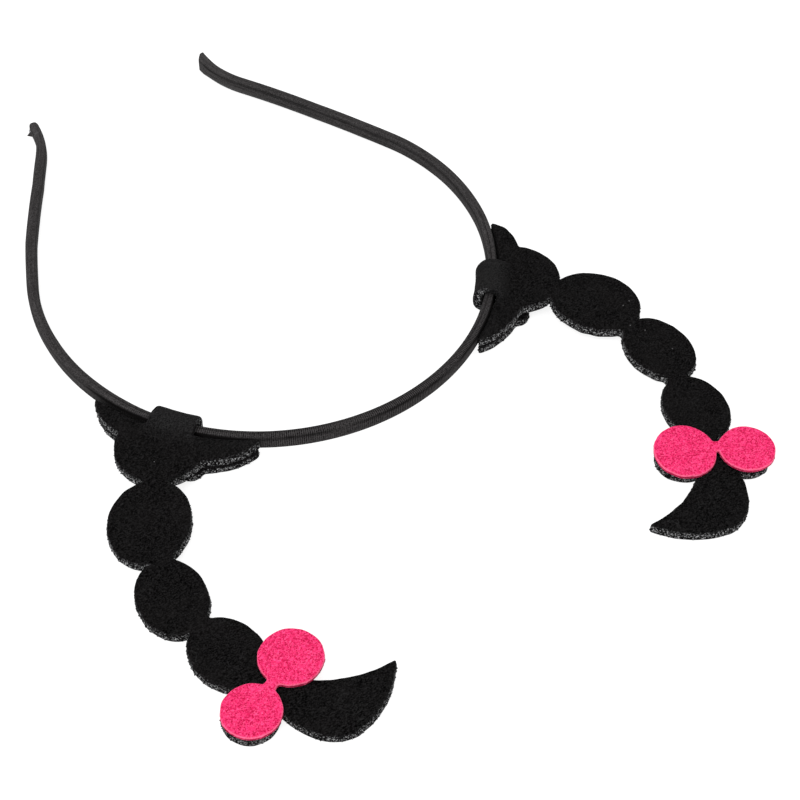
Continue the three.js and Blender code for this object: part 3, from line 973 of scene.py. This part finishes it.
def satinRibbon():
    # black satin: fine cross ribs of the weave, long faint streaks, painted shade along the upper corners,
    # the
    #     # inner side, the lower outer side and beside the roots, dark lines and patches on the arms, lighter
    #     ribbon
    #     # edges and a pale bead of glue; run goes along the ribbon, and turn round the section from 0 at the
    #     top to 1
    look = satinLook
    finish, wire, shader = startFinish("satinRibbon", look["fixed"])
    place = wire.node("ShaderNodeTexCoord", out="UV")
    solid = wire.node("ShaderNodeTexCoord", out="Object")
    cut = wire.node("ShaderNodeAttribute", {"attribute_name": "cutEdge"}, out="Fac")
    run, turn = place.axis("X"), place.axis("Y")
    far, side = abs(run), abs(turn - 0.5)
    ribs = wire.math("SINE", run * (2 * math.pi / look["ribLength"]))
    streaked = wire.node("ShaderNodeMapping", {}, {"Vector": place, "Scale": look["streaks"]})
    streak = streaked.noise(1, 4, 0.6)
    grain = solid.noise(look["grain"], 2, 0.7)
    wave = solid.noise(look["wave"], 2)
    crown = far.limit(0.8, 0.4)
    # painted shade along the upper corners, the inner side, the lower outer side and the band beside the
    # roots
    corner = abs(side - 0.31 - 0.07 * wave).limit(0.075, 0.01) * wave.limit(0.25, 0.6)
    inside = abs(turn - 0.77).limit(0.13, 0.08)
    under = abs(turn - 0.39).limit(0.06, 0.02)
    beside = abs(far - 0.59).limit(0.28, 0.2) * abs(turn - 0.27).limit(0.2, 0.12)
    lines = abs(abs(side - 0.25) - 0.07).limit(0.045, 0.015) * (1 - crown)
    patch = streaked.noise(2.5, 3, 0.6).limit(0.5, 0.66) * (1 - crown)
    woven = ribs * (0.2 + 0.9 * crown) * wave.limit(0.3, 0.6)
    tone = grain.limit(0.4, 0.6) * 0.55 + streak.limit(0.3, 0.7) * 0.25 + woven * 0.4
    tone = tone + 0.21 - 0.11 * crown + far.limit(1.8, 2) * 0.16
    face = tone.limit(0.1, 0.9).blend(look["dark"], look["light"])
    # the painted shade, the dark lines and the patches pull the face towards one dark colour
    shadeAndDarkMarks = corner * (0.1 + 0.7 * crown) + inside * (0.12 + 0.43 * crown) + under * (0.1 + 0.6 * crown)
    shadeAndDarkMarks = shadeAndDarkMarks + beside * 0.6 + lines * 0.35 + patch * 0.45
    face = shadeAndDarkMarks.limit(0, 0.9).blend(face, look["shadeAndDarkMarks"])
    face = (cut.limit(0, 1) * 0.5).blend(face, look["edge"])
    connect(cut.limit(1.2, 2).blend(face, look["glue"]), shader, "Base Color")
    connect(0.55 + 0.25 * grain, shader, "Roughness")
    relief = ribs * 0.15 + grain * 0.7 + streak * 0.4
    connect(relief.bump(0.5, 0.0003), shader, "Normal")
    return finish


blackFinish, pinkFinish, ribbonFinish = blackFelt(), pinkFelt(), satinRibbon()
print("finishes made")

makeBand("ribbon_band", ribbonFinish)
for side, sign in (("right", 1), ("left", -1)):
    makeBraid(f"braid_{side}", sign, blackFinish)
    makeBow(f"bow_{side}", sign, pinkFinish)
print("pieces made")

studio = {
    "floorSize": 6.0,
    "floor": {"Base Color": (0.3, 0.3, 0.3, 1), "Emission Color": (1, 1, 1, 1), "Emission Strength": 0.82,
              "Roughness": 0.9, "Specular IOR Level": 0},
    "sky": {"Color": (1, 1, 1, 1), "Strength": 1.0},
    "keyPower": 14,
    "keySize": 1.2,
    "keyPlace": (-0.9, -0.5, 1.3),
}

view = {
    "lens": 78.75,
    "sensor": 36,
    "nearClip": 0.01,
    "azimuth": -32.13,
    "elevation": 48.6,
    "distance": 467.06,
    "target": (7.46, 5.59),   # plan place at the middle of the picture
}


def makeStudio():
    # a pale floor that glows, an even sky and one large soft light
    half = studio["floorSize"] / 2
    corners = [(-half, -half, 0), (half, -half, 0), (half, half, 0), (-half, half, 0)]
    mesh = bpy.data.meshes.new("floor")
    mesh.from_pydata(corners, [], [(0, 1, 2, 3)])
    mesh.materials.append(startFinish("paleFloor", studio["floor"])[0])
    floor = bpy.data.objects.new("floor", mesh)
    bpy.context.scene.collection.objects.link(floor)
    world = bpy.data.worlds.new("studio")
    world.use_nodes = True
    for name, value in studio["sky"].items():
        world.node_tree.nodes["Background"].inputs[name].default_value = value
    bpy.context.scene.world = world
    light = bpy.data.lights.new("key", "AREA")
    light.energy = studio["keyPower"]
    light.size = studio["keySize"]
    key = bpy.data.objects.new("key", light)
    key.location = studio["keyPlace"]
    key.rotation_mode = "QUATERNION"
    key.rotation_quaternion = (-Vector(studio["keyPlace"])).to_track_quat("-Z", "Y")
    bpy.context.scene.collection.objects.link(key)


def makeCamera():
    # stands back from the target along its azimuth and elevation, and looks at it
    data = bpy.data.cameras.new("photo")
    data.lens = view["lens"]
    data.sensor_width = view["sensor"]
    data.clip_start = view["nearClip"]
    a, e = math.radians(view["azimuth"]), math.radians(view["elevation"])
    back = Vector((math.sin(a) * math.cos(e), -math.cos(a) * math.cos(e), math.sin(e)))
    target = Vector((*((np.array(view["target"]) + planShift) * mm).tolist(), 0))
    camera = bpy.data.objects.new("photo", data)
    camera.location = target + back * view["distance"] * mm
    camera.rotation_mode = "QUATERNION"
    camera.rotation_quaternion = back.to_track_quat("Z", "Y")
    bpy.context.scene.collection.objects.link(camera)
    bpy.context.scene.camera = camera


makeStudio()
makeCamera()
bpy.context.scene.view_settings.view_transform = "Standard"
print("studio and camera made")
